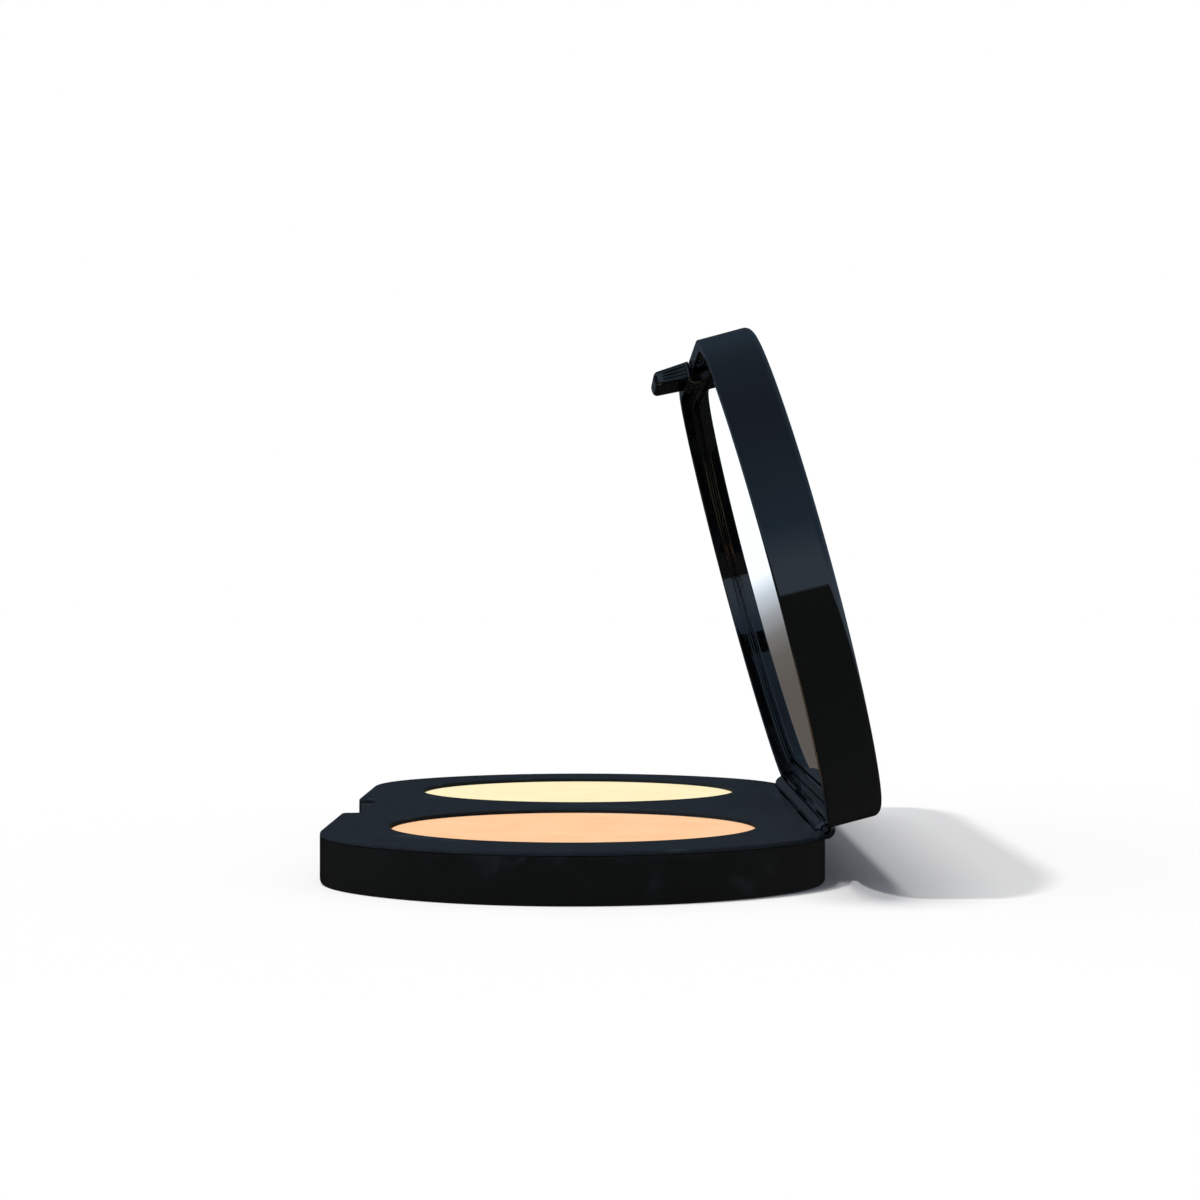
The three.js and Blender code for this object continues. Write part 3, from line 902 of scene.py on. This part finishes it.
@dataclass(frozen=True)
class Hinge:
    """Barrel hinge along the back: knuckles of both shells on two pins."""

    y: float
    z: float
    opening: float
    barrel_half: float = 30.0
    barrel: float = 1.0
    end_knuckle: float = 9.0
    middle_knuckle: float = 16.0
    gap: float = 0.3
    relief: float = 0.2
    pin: float = 0.4
    pin_clearance: float = 0.1
    pin_round: float = 0.12
    end_round: float = 0.22
    facets: int = 64

    @classmethod
    def from_frame(cls) -> "Hinge":
        """Reads the hinge line and the resting angle from the frame's joint.

        Returns:
            The hinge.
        """
        joint = frame["joints"][0]
        _, y, z = (coordinate / MM for coordinate in joint["pos_m"])
        return cls(y, z, math.radians(-joint["range_deg"][0]))

    @property
    def open_lid(self) -> Matrix:
        """Turns a piece drawn with the lid shut to the lid's place at rest, in metres."""
        line = Vector((0.0, self.y, self.z)) * MM
        turn = Matrix.Rotation(-self.opening, 4, "X")
        return Matrix.Translation(line) @ turn @ Matrix.Translation(-line)

    @property
    def base_knuckles(self) -> list[Point]:
        """Stretches of the barrel that belong to the base."""
        end, middle = self.barrel_half, self.middle_knuckle / 2
        inner = end - self.end_knuckle
        return [(-end, -inner), (-middle, middle), (inner, end)]

    @property
    def lid_knuckles(self) -> list[Point]:
        """Stretches of the barrel that belong to the lid."""
        near = self.middle_knuckle / 2 + self.gap
        far = self.barrel_half - self.end_knuckle - self.gap
        return [(-far, -near), (near, far)]

    def rod(self, name: str, radius: float, span: Point, round_off: float = 0.0,
            bore: float = 0.0) -> Piece:
        """A round bar or tube along the hinge line.

        Args:
            name: The new object's name.
            radius: Its outer radius.
            span: Where along X it starts and ends.
            round_off: Radius of the rounds at its ends.
            bore: Radius of the hole through it, or 0 for a bar.

        Returns:
            The solid.
        """
        low, high = span
        core = bore or radius * 0.35
        corners = [Corner(core, low), Corner(radius, low, round_off),
                   Corner(radius, high, round_off), Corner(core, high)]
        path = filleted(corners, 5, closed=bore > 0)
        return barred(name, path, self.y, self.z, self.facets, closed=bore > 0)

    def relieve(self, solid: Piece, knuckles: Sequence[Point], room: float) -> None:
        """Clears room around knuckles that aren't the solid's own.

        Args:
            solid: The solid.
            knuckles: Their stretches of the barrel.
            room: Clearance around the barrel.
        """
        for low, high in knuckles:
            span = (low - self.gap, high + self.gap)
            combine(solid, self.rod("relief", self.barrel + room, span), Cut.TAKE)

    def fit(self, shell: Piece, own: Sequence[Point], other: Sequence[Point]) -> None:
        """Clears a shell round the other shell's knuckles, then adds its own bored ones.

        Args:
            shell: The shell.
            own: Stretches of the barrel that belong to it.
            other: Stretches that belong to the other shell.
        """
        self.relieve(shell, other, self.relief)
        bore = self.pin + self.pin_clearance
        socket = (bore + self.barrel) / 2
        for low, high in own:
            inner = (low + self.gap, high - self.gap)
            combine(shell, self.rod("socket", socket, inner), Cut.TAKE)
        for span in own:
            attach(shell, self.rod("knuckle", self.barrel, span, self.end_round, bore))

    def build(self) -> None:
        """Makes the two pins."""
        for side in ("left", "right"):
            node = f"hinge_pin_{side}"
            low, high = node_box(node)
            pin = self.rod(f"steel_pin_{side}", self.pin, (low.x, high.x), self.pin_round)
            smooth(pin)
            dress(pin, PIN_METAL, Slot.PIN, Body.BASE, node)


@dataclass(frozen=True)
class BaseCase:
    """Tub of the base and the deck that closes it."""

    plan: CaseOutline
    hinge: Hinge
    height: float
    notch: Notch = Notch()
    floor: float = 0.9
    rim_wall: float = 1.0
    ledge: float = 1.0
    foot_round: float = 0.4
    plug: float = 1.2
    flange: float = 0.45
    top_round: float = 0.3
    seam_round: float = 0.05
    hidden_round: float = 0.1
    lip: float = 0.4
    lip_round: float = 0.16
    seat: float = 0.85
    fit: float = 0.1
    land_margin: float = 0.5
    well_wall: float = 0.8
    catch: float = 0.15
    catch_half: float = 6.0
    catch_height: float = 3.3
    overshoot: float = 3.0

    def _slab(self, name: str, corners: Sequence[Corner], notched: bool = True) -> Piece:
        """A solid skinned from the plan outline along an inset and height profile."""
        notch = self.notch if notched else None
        return skin(name, [self.plan.ring(inset, z, notch) for inset, z in filleted(corners)])

    def _land(self, margin: float) -> Piece:
        """Block over the raised land that carries the knuckles.

        Args:
            margin: How far it is grown.

        Returns:
            The block, to cut with.
        """
        end = self.hinge.barrel_half + self.land_margin + margin
        front = self.plan.half_width - self.rim_wall - margin
        back = self.plan.half_width + 2 * self.overshoot
        return box("land", (-end, front, -1.0), (end, back, self.height + 2 * self.overshoot))

    def shell(self) -> Piece:
        """The tub, with its notch, ledge, wells, catch ridge and knuckles.

        Returns:
            The solid.
        """
        wall, inner = self.rim_wall, self.rim_wall + self.ledge
        underside = self.height - self.plug
        tub = self._slab("base_tub", [
            Corner(CAP_INSET, 0.0),
            Corner(0.0, 0.0, self.foot_round),
            Corner(0.0, self.height, self.top_round),
            Corner(wall, self.height),
            Corner(wall, underside),
            Corner(inner, underside),
            Corner(inner, self.floor),
            Corner(CAP_INSET, self.floor),
        ])
        seam = self.height - self.flange - self.fit / 2
        above = self._slab("above", [
            Corner(-self.overshoot, seam), Corner(-self.overshoot, self.height + 1.0),
        ], notched=False)
        combine(above, self._land(0.0), Cut.TAKE)
        combine(tub, above, Cut.TAKE)
        for side in (-1, 1):
            combine(tub, self._well(side * self.plan.well_x, underside - self.fit), Cut.JOIN)
        ridge_y = -self.plan.half_width + self.notch.depth
        combine(tub, self._ridge(ridge_y), Cut.JOIN)
        self.hinge.fit(tub, self.hinge.base_knuckles, self.hinge.lid_knuckles)
        smooth(tub)
        return tub

    def _well(self, x: float, top: float) -> Piece:
        """Ring on the floor around one pan.

        Args:
            x: Place of its centre.
            top: Height of its top.

        Returns:
            The solid.
        """
        inner = self.plan.opening + self.seat
        outer = inner + self.well_wall
        low = self.floor / 2
        corners = [Corner(inner, low), Corner(outer, low), Corner(outer, top, self.hidden_round),
                   Corner(inner, top, self.hidden_round)]
        return turned("well", filleted(corners, 3, closed=True), x, 120, closed=True)

    def _ridge(self, y: float) -> Piece:
        """Catch ridge along the back of the notch.

        Args:
            y: Place of the notch's back.

        Returns:
            The solid.
        """
        half, radius, end = self.catch_half, self.catch, self.hidden_round
        core = radius * 0.3
        path = filleted([Corner(core, -half), Corner(radius, -half, end),
                         Corner(radius, half, end), Corner(core, half)], 4)
        return barred("ridge", path, y, self.catch_height, 24)

    def deck(self) -> Piece:
        """The plate around the wells, with a fine round along every edge that shows.

        Returns:
            The solid.
        """
        inset = self.rim_wall + self.fit
        under, seam = self.height - self.plug, self.height - self.flange
        plate = self._slab("deck_plate", [
            Corner(CAP_INSET, under),
            Corner(inset, under, self.hidden_round),
            Corner(inset, seam),
            Corner(0.0, seam, self.seam_round),
            Corner(0.0, self.height, self.top_round),
            Corner(CAP_INSET, self.height),
        ])
        combine(plate, self._land(self.fit), Cut.TAKE)
        for side in (-1, 1):
            combine(plate, self._opening(side * self.plan.well_x), Cut.TAKE)
        self.hinge.relieve(plate, self.hinge.lid_knuckles, self.hinge.relief)
        self.hinge.relieve(plate, self.hinge.base_knuckles, self.fit)
        smooth(plate)
        return plate

    def _opening(self, x: float) -> Piece:
        """Cutter for one well: opening with a rounded lip, and the pan's seat under it.

        Args:
            x: Place of its centre.

        Returns:
            The cutter.
        """
        seat, edge = self.plan.opening + self.seat, self.plan.opening
        shelf, low = self.height - self.lip, self.height - self.plug - self.overshoot
        flare = [
            (edge + self.lip_round * (1 - math.cos(angle)),
             self.height - self.lip_round * (1 - math.sin(angle)))
            for angle in (math.pi / 2 * step / 6 for step in range(7))
        ]
        path = [(seat * 0.5, low), (seat, low), (seat, shelf), (edge, shelf), *flare,
                (flare[-1][0], self.height + 1.0), (seat * 0.5, self.height + 1.0)]
        return turned("opening", path, x, 200)

    def build(self) -> None:
        """Makes both pieces."""
        dress(self.shell(), CASE_GLOSS, Slot.CASE, Body.BASE, "base_shell")
        dress(self.deck(), DECK_SATIN, Slot.DECK, Body.BASE, "base_deck")


@dataclass(frozen=True)
class PowderWell:
    """One well's cake of pressed powder, in its pan on its adhesive pad."""

    shade: str
    finish: Finish
    slot: Slot
    edge: float = 0.3
    foot_round: float = 0.2
    ring_step: float = 0.45
    facets: int = 200
    ripple: float = 0.012
    crown: float = 0.03
    seed: float = 3.0

    def cake(self) -> Piece:
        """The cake: a disc with a softened rim and a very slightly uneven pressed face.

        Returns:
            The solid.
        """
        low, high = node_box(f"{self.shade}_powder")
        radius, x = (high.x - low.x) / 2, (high.x + low.x) / 2
        corners = [Corner(radius * 0.5, low.z), Corner(radius, low.z, self.foot_round),
                   Corner(radius, high.z, self.edge), Corner(radius - 2 * self.edge, high.z)]
        path = filleted(corners, 5)
        count = int((path[-1][0] - self.ring_step) / self.ring_step)
        face = [(path[-1][0] - self.ring_step * step, high.z) for step in range(1, count + 1)]
        cake = turned(f"{self.shade}_cake", path + face, x, self.facets)
        top = (high.z - self.edge / 2) * MM
        for vertex in cake.data.vertices:
            if vertex.co.z > top:
                reach = math.hypot(vertex.co.x - x * MM, vertex.co.y) / (radius * MM)
                where = Vector((vertex.co.x, vertex.co.y, self.seed * MM)) / MM
                rough = noise.noise(where * 0.9) + 0.5 * noise.noise(where * 2.3)
                fade = max(0.0, 1.0 - reach**8)
                vertex.co.z += (self.ripple * rough + self.crown * (1 - reach**2)) * fade * MM
        smooth(cake)
        return cake

    def build(self) -> None:
        """Makes the cake, and dresses the pan and the pad under it."""
        low, high = node_box(f"{self.shade}_powder")
        finish = replace(self.finish, centre=(low.x + high.x) / 2, radius=(high.x - low.x) / 2)
        dress(self.cake(), finish, self.slot, Body.BASE, f"{self.shade}_powder")
        repaint(f"{self.shade}_pan", PAN_METAL)
        repaint(f"{self.shade}_pan_pad", PAD_FOAM)


@dataclass(frozen=True)
class Lid:
    """Lid tray, mirror and bezel, drawn shut and then turned open."""

    plan: CaseOutline
    hinge: Hinge
    rim: float
    height: float = 5.55
    wall: float = 1.2
    seat: float = 2.45
    back_round: float = 0.8
    rim_round: float = 0.16
    mouth_round: float = 0.12
    fit: float = 0.1
    layer: float = 0.1
    tape: float = 0.15
    mirror: float = 1.0
    mirror_clearance: float = 0.3
    bezel_drop: float = 1.2
    bezel_width: float = 1.2
    bezel_rounds: tuple[float, float, float] = (0.1, 0.12, 0.08)
    overshoot: float = 1.0
    arris: float = 0.15
    tongue_half: float = 7.7

    @property
    def top(self) -> float:
        """Height of the lid's back when it is shut."""
        return self.rim + self.height

    @property
    def mirror_span(self) -> Point:
        """Lowest and highest faces of the mirror when the lid is shut."""
        high = self.top - self.seat - 2 * self.layer - self.tape
        return high - self.mirror, high

    def _slab(self, name: str, corners: Sequence[Corner], closed: bool = False,
              steps: int = 6) -> Piece:
        """A solid skinned from the plan outline along an inset and height profile."""
        path = filleted(corners, steps, closed)
        return skin(name, [self.plan.ring(inset, z) for inset, z in path], closed)

    def shell(self) -> Piece:
        """The tray: a rounded back, a thin wall and a softened mouth.

        Returns:
            The solid, with the lid shut.
        """
        ceiling = self.top - self.seat
        tray = self._slab("lid_tray", [
            Corner(CAP_INSET, ceiling),
            Corner(self.wall, ceiling),
            Corner(self.wall, self.rim, self.mouth_round),
            Corner(0.0, self.rim, self.rim_round),
            Corner(0.0, self.top, self.back_round),
            Corner(CAP_INSET, self.top),
        ], steps=10)
        self.hinge.fit(tray, self.hinge.lid_knuckles, self.hinge.base_knuckles)
        smooth(tray)
        return tray

    def bezel(self) -> Piece:
        """The frame over the mirror's edge, split for the tongue's anchor.

        Returns:
            The solid, with the lid shut.
        """
        low, high = self.rim + self.bezel_drop, self.mirror_span[0] - self.layer
        outer = self.wall + self.fit
        inner = outer + self.bezel_width
        face, mouth, back = self.bezel_rounds
        frame_ring = self._slab("mirror_bezel", [
            Corner(outer, low, face), Corner(inner, low, mouth), Corner(inner, high, back),
            Corner(outer, high, back),
        ], closed=True)
        reach, front, over = self.tongue_half + self.fit, -self.plan.half_width, self.overshoot
        slot = box("slot", (-reach, front, low - over),
                   (reach, front + inner + 2 * over, high + over))
        combine(frame_ring, slot, Cut.TAKE)
        smooth(frame_ring)
        return frame_ring

    def plate(self) -> Piece:
        """The mirror, with a polished arris all round.

        Returns:
            The solid, with the lid shut.
        """
        low, high = self.mirror_span
        inset = self.wall + self.mirror_clearance
        plate = self._slab("mirror_plate", [
            Corner(CAP_INSET, low), Corner(inset, low, self.arris),
            Corner(inset, high, self.arris), Corner(CAP_INSET, high),
        ])
        smooth(plate)
        return plate

    def build(self) -> None:
        """Makes the tray, bezel and mirror, and dresses the tape behind the mirror."""
        pieces = (
            (self.shell(), CASE_GLOSS, Slot.CASE, "lid_shell"),
            (self.bezel(), CASE_GLOSS, Slot.CASE, "lid_bezel"),
            (self.plate(), MIRROR_GLASS, Slot.MIRROR, "mirror"),
        )
        for piece, finish, slot, node in pieces:
            piece.data.transform(self.hinge.open_lid)
            dress(piece, finish, slot, Body.LID, node)
        repaint("mirror_tape", PAD_FOAM)


@dataclass(frozen=True)
class LatchTongue:
    """Tongue on the front of the lid that drops into the notch, with its anchor plate.

    Heights are those of the shut lid, where the tongue's outer face looks towards -Y.
    """

    hinge: Hinge
    front: float
    rim: float
    half_width: float = 7.7
    length: float = 4.1
    tip: float = 1.45
    root: float = 1.95
    taper: float = 0.25
    corner: float = 0.32
    least_corner: float = 0.1
    tip_round: float = 0.7
    tip_steps: int = 8
    shank: tuple[float, ...] = (0.12, 0.2, 0.3, 0.6, 0.9, 1.0)
    rib_depth: float = 0.07
    rib_fade: float = 0.18
    ribs: int = 9
    end_ribs: int = 3
    side_steps: int = 90
    end_steps: int = 24
    collar: float = 0.12
    collar_height: float = 0.45
    collar_profile: tuple[Point, ...] = (
        (0.0, 0.0), (0.04, 0.6), (0.12, 1.0), (0.33, 1.0), (0.41, 0.6), (0.45, 0.0),
    )
    anchor_front: float = 1.3
    anchor_back: float = 2.5
    anchor_height: float = 1.65
    anchor_corner: float = 0.12
    anchor_round: float = 0.15
    fit: float = 0.1

    @property
    def tip_z(self) -> float:
        """Height of the tip."""
        return self.rim - self.length

    @property
    def collar_z(self) -> float:
        """Height at which the collar starts."""
        return self.rim - self.fit - self.collar_height

    def _faces(self, z: float) -> Point:
        """Outer and inner faces of the tongue at one height."""
        share = (z - self.tip_z) / (self.rim - self.fit - self.tip_z)
        outer = self.front + self.taper * (1 - share)
        return outer, outer + self.tip + (self.root - self.tip) * share

    @staticmethod
    def _ribs(steps: int, count: int, depth: float) -> list[Point]:
        """Places along a face and how far it dips there, between its two corners."""
        shares = (step / steps for step in range(1, steps))
        return [(share, depth * (0.5 - 0.5 * math.cos(math.tau * count * share)))
                for share in shares]

    def _section(self, z: float, low: float, high: float, half: float, corner: float,
                 ribbed: float = 0.0) -> Ring:
        """A rounded rectangle with fine ribs along its outer face and its ends.

        Args:
            z: Height of the section.
            low: Its outer face.
            high: Its inner face.
            half: Half its width.
            corner: Radius of its corners.
            ribbed: Depth of the ribs.

        Returns:
            The section's points.
        """
        reach, near, far = half - corner, low + corner, high - corner
        ends = self._ribs(self.end_steps, self.end_ribs, ribbed)
        side = self._ribs(self.side_steps, self.ribs, ribbed)
        stretches = (
            (reach, near, -90, [(half - dip, near + (far - near) * part) for part, dip in ends]),
            (reach, far, 0, []),
            (-reach, far, 90, [(dip - half, far + (near - far) * part) for part, dip in ends]),
            (-reach, near, 180, [(2 * reach * part - reach, low + dip) for part, dip in side]),
        )
        plan: list[Point] = []
        for x, y, start, stretch in stretches:
            for degrees in range(start, start + 91, CORNER_STEP):
                angle = math.radians(degrees)
                plan.append((x + corner * math.cos(angle), y + corner * math.sin(angle)))
            plan += stretch
        return [Vector((x, y, z)) for x, y in plan]

    def _tip(self) -> list[Ring]:
        """The rounded tip, from its end inwards.

        Returns:
            Its sections.
        """
        rings = []
        for step in range(self.tip_steps + 1):
            angle = math.pi / 2 * step / self.tip_steps
            inset = self.tip_round * (1 - math.sin(angle))
            z = self.tip_z + self.tip_round * 0.8 * (1 - math.cos(angle))
            outer, inner = self._faces(z)
            thin = inset * 0.75
            corner = max(self.corner - inset * 0.3, self.least_corner)
            half = self.half_width - inset
            rings.append(self._section(z, outer + thin, inner - thin, half, corner))
        return rings

    def tongue(self) -> Piece:
        """The tongue: its tip, its ribbed shank and a small collar at its root.

        Returns:
            The solid, with the lid shut.
        """
        rings = self._tip()
        shank_z, ribs_start = rings[-1][0].z, self.shank[0]
        for share in self.shank:
            z = shank_z + (self.collar_z - shank_z) * share
            deep = min(1.0, (share - ribs_start) / self.rib_fade) if share < 1.0 else 0.0
            rings.append(self._section(z, *self._faces(z), self.half_width, self.corner,
                                       self.rib_depth * deep))
        for rise, grow in self.collar_profile:
            z = self.collar_z + rise
            outer, inner = self._faces(z)
            wide = grow * self.collar
            rings.append(self._section(z, outer, inner + wide, self.half_width + wide,
                                       self.corner))
        return skin("lid_tongue", rings)

    def anchor(self) -> Piece:
        """The plate inside the lid that holds the tongue.

        Returns:
            The solid, with the lid shut.
        """
        outer = self.front + self.anchor_front + self.fit
        top = self.rim + self.anchor_height
        below, inside = self.front + self.root, self.front + self.anchor_back
        levels = ((self.collar_z, below, 0.0), (self.rim, inside, 0.0),
                  (top - self.anchor_round, inside, 0.0), (top, inside, self.anchor_round))
        return skin("anchor", [
            self._section(z, outer + inset, inner - inset, self.half_width - inset,
                          self.anchor_corner)
            for z, inner, inset in levels
        ])

    def build(self) -> None:
        """Makes the tongue and its anchor in one piece."""
        tongue = self.tongue()
        combine(tongue, self.anchor(), Cut.JOIN)
        smooth(tongue)
        tongue.data.transform(self.hinge.open_lid)
        dress(tongue, CASE_GLOSS, Slot.CASE, Body.LID, "latch_tongue")


# ---------------------------------------------------------------- studio


@dataclass(frozen=True)
class Lamp:
    """A distant light that gloss doesn't mirror: its direction, strength and width in degrees."""

    name: str
    shines_from: tuple[float, float, float]
    strength: float
    width: float
    colour: Colour = (1.0, 0.99, 0.975)

    def build(self) -> None:
        """Makes the light."""
        data = bpy.data.lights.new(self.name, "SUN")
        data.energy, data.angle, data.color = self.strength, math.radians(self.width), self.colour
        light = bpy.data.objects.new(self.name, data)
        light.visible_glossy = False
        light.rotation_euler = Vector(self.shines_from).to_track_quat("Z", "Y").to_euler()
        bpy.context.scene.collection.objects.link(light)


@dataclass(frozen=True)
class Studio:
    """White floor, soft daylight from in front of the notch, and a low camera off one end."""

    distance: float = 0.279
    lens: float = 75.66
    sensor: float = 36.0
    aside: float = 0.00085
    above: float = 0.00098
    aim_above: float = 0.0004
    floor_size: float = 6.0
    floor_colour: Colour = (0.815, 0.81, 0.803)
    lamps: tuple[Lamp, ...] = (
        Lamp("Key", (0.19, -0.49, 0.86), 1.25, 3.0),
        Lamp("Softbox", (0.06, -0.27, 0.96), 2.05, 20.0),
    )
    sky: Colour = (0.262, 0.281, 0.312)
    gloss_sky: Stops = (
        (-1.0, (0.085, 0.09, 0.085)), (-0.095, (0.095, 0.10, 0.095)),
        (-0.080, (0.62, 0.80, 1.02)), (0.10, (0.60, 0.80, 1.05)),
        (0.39, (0.26, 0.435, 0.66)), (0.74, (0.21, 0.33, 0.46)), (1.0, (0.14, 0.20, 0.29)),
    )
    gloss_dimming: Stops = (
        (-1.0, (0.05,) * 3), (-0.91, (0.13,) * 3), (-0.67, (0.4,) * 3), (0.0, (1.0,) * 3),
    )
    far_horizon: float = 0.045
    mirror_sky: Stops = (
        (-1.0, (0.085, 0.078, 0.072)), (-0.066, (0.108, 0.096, 0.087)),
        (-0.050, (0.135, 0.128, 0.118)), (-0.042, (0.25, 0.255, 0.265)),
        (-0.032, (0.52, 0.58, 0.64)), (-0.024, (1.0, 1.08, 1.15)), (0.3, (1.15, 1.2, 1.25)),
    )

    def camera(self) -> None:
        """Looks level along -X at the middle of the object."""
        low, high = (Vector(corner) for corner in CAD_BOUNDS)
        middle = (low + high) / 2
        middle.x = 0.0
        data = bpy.data.cameras.new("Camera")
        data.lens, data.sensor_width = self.lens, self.sensor
        data.clip_start, data.clip_end = 0.01, 20.0
        camera = bpy.data.objects.new("Camera", data)
        camera.location = middle + Vector((self.distance, self.aside, self.above))
        aim = middle + Vector((0.0, 0.0, self.aim_above)) - camera.location
        camera.rotation_euler = aim.to_track_quat("-Z", "Y").to_euler()
        bpy.context.scene.collection.objects.link(camera)
        bpy.context.scene.camera = camera

    def floor(self) -> None:
        """A white floor that gloss doesn't mirror, so dark plastic stays dark at its foot."""
        half = self.floor_size / 2 / MM
        corners = ((-half, -half), (half, -half), (half, half), (-half, half))
        mesh = bpy.data.meshes.new("Floor")
        mesh.from_pydata([(x * MM, y * MM, 0.0) for x, y in corners], [], [(0, 1, 2, 3)])
        floor = bpy.data.objects.new("Floor", mesh)
        bpy.context.scene.collection.objects.link(floor)
        material = bpy.data.materials.new("White sweep")
        material.use_nodes = True
        graph = Graph(material.node_tree)
        shader = material.node_tree.nodes["Principled BSDF"]
        shader.inputs["Base Color"].default_value = (*self.floor_colour, 1.0)
        shader.inputs["Roughness"].default_value = 1.0
        shader.inputs["Specular IOR Level"].default_value = 0.0
        clear = graph.add("BsdfTransparent")
        path = graph.add("LightPath")
        mixed = graph.add("MixShader", {
            0: path.outputs["Is Glossy Ray"], 1: shader.outputs[0], 2: clear.outputs[0],
        })
        result = material.node_tree.nodes["Material Output"]
        graph.link(mixed.outputs[0], result.inputs["Surface"])
        mesh.materials.append(material)

    def sky_light(self) -> None:
        """White backdrop and even skylight, with a horizon of their own for gloss and mirror."""
        world = bpy.data.worlds.new("Sky")
        bpy.context.scene.world = world
        world.use_nodes = True
        graph = Graph(world.node_tree)
        way = graph.add("SeparateXYZ", {0: graph.add("TexCoord").outputs["Generated"]}).outputs
        dimming = graph.gradient(way["X"], self.gloss_dimming)
        sunk = graph.ramp(way["X"], -0.2, 0.2, -self.far_horizon, 0.0)
        level = graph.math("ADD", way["Z"], sunk)
        glossy = graph.product(graph.gradient(level, self.gloss_sky), dimming)
        path = graph.add("LightPath").outputs
        mirrored = graph.gradient(way["Z"], self.mirror_sky)
        first = graph.math("LESS_THAN", path["Ray Depth"], 2.5)
        direct = graph.times(path["Is Singular Ray"], first)
        sharp = graph.blend(direct, glossy, mirrored)
        even = graph.blend(path["Is Glossy Ray"], (*self.sky, 1.0), sharp)
        seen = graph.blend(path["Is Camera Ray"], even, (1.0, 1.0, 1.0, 1.0))
        graph.link(seen, world.node_tree.nodes["Background"].inputs["Color"])

    def build(self) -> None:
        """Sets up the camera, the floor and the lights, with plain display colours."""
        self.camera()
        self.floor()
        self.sky_light()
        for lamp in self.lamps:
            lamp.build()
        bpy.context.scene.view_settings.view_transform = "Standard"


def main() -> None:
    """Builds the compact around the frame, then the studio around it."""
    logging.basicConfig(level=logging.INFO, format="%(name)s: %(message)s")
    low, high = node_box("base_shell")
    _, deck_top = node_box("base_deck")
    plan = CaseOutline(half_length=high.x, half_width=-low.y)
    hinge = Hinge.from_frame()
    rim = 2 * hinge.z - deck_top.z
    BaseCase(plan, hinge, deck_top.z).build()
    PowderWell("peach", POWDER_PEACH, Slot.PEACH).build()
    PowderWell("ivory", POWDER_IVORY, Slot.IVORY, seed=41.0).build()
    hinge.build()
    Lid(plan, hinge, rim).build()
    LatchTongue(hinge, -plan.half_width, rim).build()
    Studio().build()


if __name__ == "__main__":
    main()
